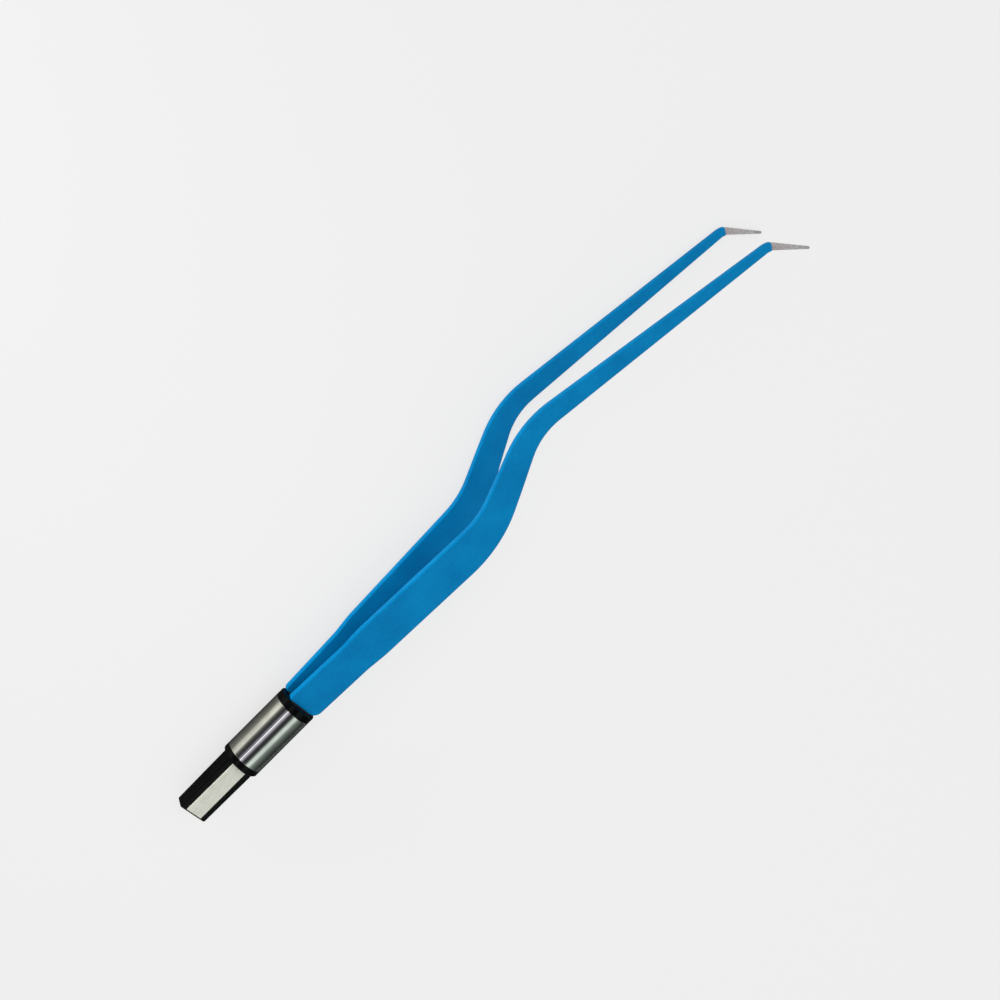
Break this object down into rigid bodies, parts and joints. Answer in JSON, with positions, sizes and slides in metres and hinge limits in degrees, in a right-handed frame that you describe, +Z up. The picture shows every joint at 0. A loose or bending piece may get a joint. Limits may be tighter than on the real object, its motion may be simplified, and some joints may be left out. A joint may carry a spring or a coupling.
{
  "type": "bipolar forceps",
  "caption": "Open bayonet bipolar forceps: blue-coated spring arms with bare bent tips, a polished ferrule between black collars and a flat plug.",
  "frame": {"origin": "centre of the bounding box's bottom, on the surface that the forceps lies on", "axes": "+X from the plug towards the tips, +Y the side that the bayonet steps to, +Z up"},
  "size_m": [0.2006, 0.0198, 0.0229],
  "materials": {
    "blade_steel": "matt stainless spring steel",
    "blue_coat": "thin blue insulating coat, semi-gloss",
    "polished_steel": "mirror polished sleeve",
    "black_moulding": "glossy black moulded plastic",
    "contact_plate": "pale plated contact",
    "insulation": "plain insulating plastic"
  },
  "bodies": {
    "connector": {"ferrule": "polished_steel", "front_collar": "black_moulding", "rear_collar": "black_moulding", "plug_body": "black_moulding", "upper_contact": "contact_plate", "lower_contact": "contact_plate", "arm_spacer": "insulation", "upper_liner": "insulation", "lower_liner": "insulation", "cross_rivet": "insulation"},
    "upper_arm": {"upper_blade": "blade_steel", "upper_coating": "blue_coat"},
    "lower_arm": {"lower_blade": "blade_steel", "lower_coating": "blue_coat"}
  },
  "joints": [
    {"name": "upper_arm_flex", "type": "hinge", "parent": "connector", "child": "upper_arm", "pos_m": [-0.07235, -0.00472, 0.0073], "axis": [0, 1, 0], "range_deg": [0, 3.39], "stiffness_Nm_per_rad": 2.3},
    {"name": "lower_arm_flex", "type": "hinge", "parent": "connector", "child": "lower_arm", "pos_m": [-0.07223, -0.00472, 0.00388], "axis": [0, -1, 0], "range_deg": [0, 3.39], "stiffness_Nm_per_rad": 2.3}
  ]
}
